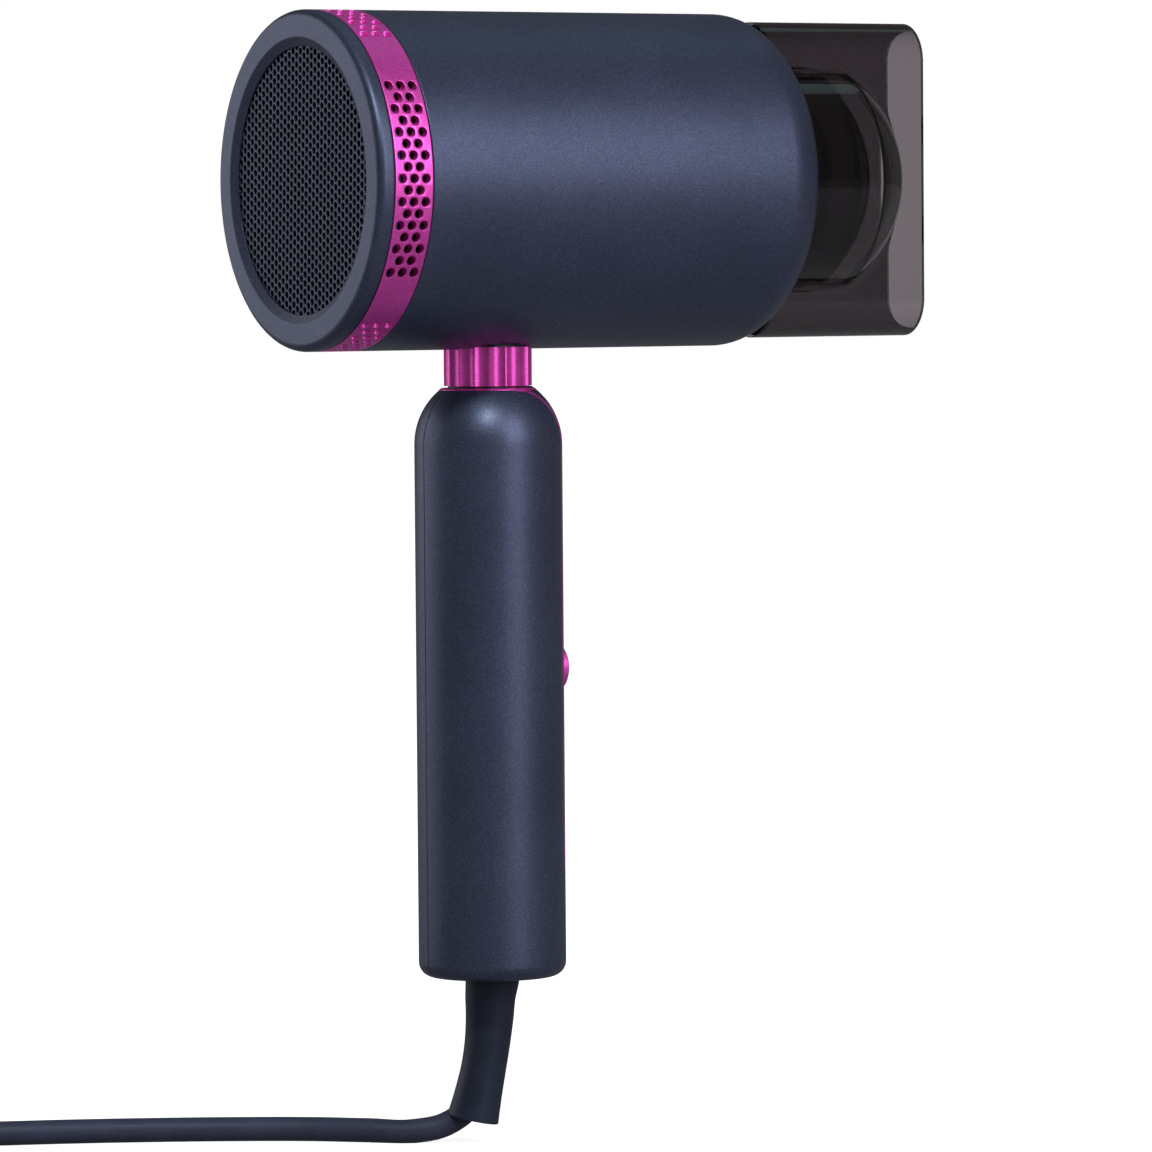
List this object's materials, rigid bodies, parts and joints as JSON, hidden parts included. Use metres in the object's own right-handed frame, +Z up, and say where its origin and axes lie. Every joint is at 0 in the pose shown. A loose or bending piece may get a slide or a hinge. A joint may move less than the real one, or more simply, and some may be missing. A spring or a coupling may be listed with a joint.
{
  "type": "hair dryer",
  "caption": "Hair dryer with a round barrel on a round handle, a ring of side air holes, a fluted neck, a tall flat clear concentrator nozzle and a mains cord in a stored coil.",
  "frame": {"origin": "on the handle's axis, half way up the handle, where a hand grips it", "axes": "+X along the barrel out of the nozzle, +Z up along the handle to the barrel, +Y to the left when looking along +X"},
  "size_m": [0.3372, 0.1281, 0.2693],
  "materials": {
    "soft_navy": "soft-touch metallic blue-grey paint",
    "magenta_metal": "satin metallic magenta",
    "smoke_clear": "clear smoke-grey, polished",
    "mesh_black": "satin black coating",
    "black_plastic": "moulded, fine grain",
    "nylon": "natural glass-filled nylon",
    "steel": "turned",
    "mica": "pressed mica board",
    "heating_wire": "oxidised resistance wire",
    "board_green": "solder mask",
    "lead_red": "silicone sheath",
    "cord_rubber": "matte sheath",
    "tie_fabric": "hook and loop strap",
    "plug_plastic": "moulded matte",
    "pin_brass": "nickel-plated"
  },
  "bodies": {
    "dryer": {"barrel_shell": "soft_navy", "handle_shell_left": "soft_navy", "handle_shell_right": "soft_navy", "front_panel": "soft_navy", "vent_ring": "magenta_metal", "neck_collar": "magenta_metal", "trim_band": "magenta_metal", "outlet_grille": "black_plastic", "handle_chassis": "black_plastic", "switch_body": "black_plastic", "cord_clamp": "black_plastic", "board_parts": "black_plastic", "motor_magnets": "black_plastic", "fan_duct": "nylon", "motor_end_cap": "nylon", "motor_mount": "nylon", "thermal_fuse": "nylon", "motor_can": "steel", "bearing_rear": "steel", "bearing_front": "steel", "thermostat": "steel", "grille_screws": "steel", "neck_tube": "steel", "handle_screws": "steel", "heater_boards": "mica", "heat_sleeve": "mica", "heating_coil": "heating_wire", "circuit_board": "board_green", "wiring": "lead_red", "strain_relief": "cord_rubber", "power_cord": "cord_rubber", "cord_coil": "cord_rubber", "cord_tail": "cord_rubber", "cord_tie": "tie_fabric", "plug_body": "plug_plastic", "plug_pins": "pin_brass"},
    "rotor": {"motor_shaft": "steel", "rotor_core": "steel", "fan_impeller": "black_plastic"},
    "outlet_ring": {"swivel_ring": "black_plastic"},
    "nozzle": {"nozzle": "smoke_clear", "nozzle_funnel": "smoke_clear"},
    "rear_cover": {"rear_bezel": "soft_navy", "intake_mesh": "mesh_black", "mesh_retainer": "black_plastic"},
    "button": {"power_button": "magenta_metal", "switch_plunger": "steel"}
  },
  "joints": [
    {"name": "fan_spin", "type": "hinge", "parent": "dryer", "child": "rotor", "pos_m": [-0.01, 0, 0.1193], "axis": [1, 0, 0], "continuous": true},
    {"name": "nozzle_turn", "type": "hinge", "parent": "dryer", "child": "outlet_ring", "pos_m": [0.068, 0, 0.1193], "axis": [1, 0, 0], "continuous": true},
    {"name": "nozzle_pull", "type": "slide", "parent": "outlet_ring", "child": "nozzle", "axis": [1, 0, 0], "range_m": [0, 0.03]},
    {"name": "rear_cover_pull", "type": "slide", "parent": "dryer", "child": "rear_cover", "axis": [-1, 0, 0], "range_m": [0, 0.02]},
    {"name": "button_press", "type": "slide", "parent": "dryer", "child": "button", "axis": [-1, 0, 0], "range_m": [0, 0.001], "stiffness_N_per_m": 900, "springref_m": -0.001}
  ]
}
